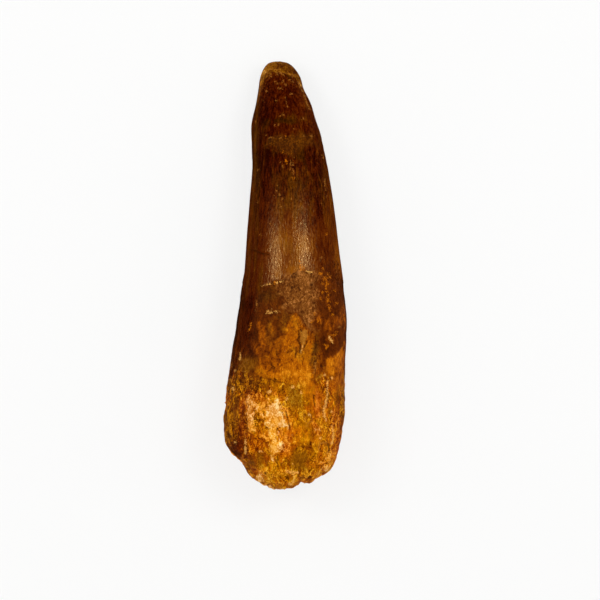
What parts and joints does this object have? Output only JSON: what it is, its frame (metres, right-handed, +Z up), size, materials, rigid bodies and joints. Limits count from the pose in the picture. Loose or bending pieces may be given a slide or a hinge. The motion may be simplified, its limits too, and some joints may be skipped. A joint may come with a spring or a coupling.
{
  "type": "spinosaurus tooth",
  "caption": "Fossil spinosaurus tooth: a long, blunt, fluted cone with a worn, sandy root, lying on its side on a small flat spot.",
  "frame": {"origin": "on the ground, below the middle of the tooth's box", "axes": "+Y along the tooth, from the broken base to the tip; +Z up, out of the face with the sand crust; +X to the side that the crown bulges to"},
  "size_m": [0.023, 0.08, 0.0192],
  "materials": {
    "fossil": "glossy dark red-brown enamel on the crown, matt orange and olive dentine with a pale sand crust on the root"
  },
  "bodies": {
    "root": {"tooth": "fossil"}
  },
  "joints": []
}
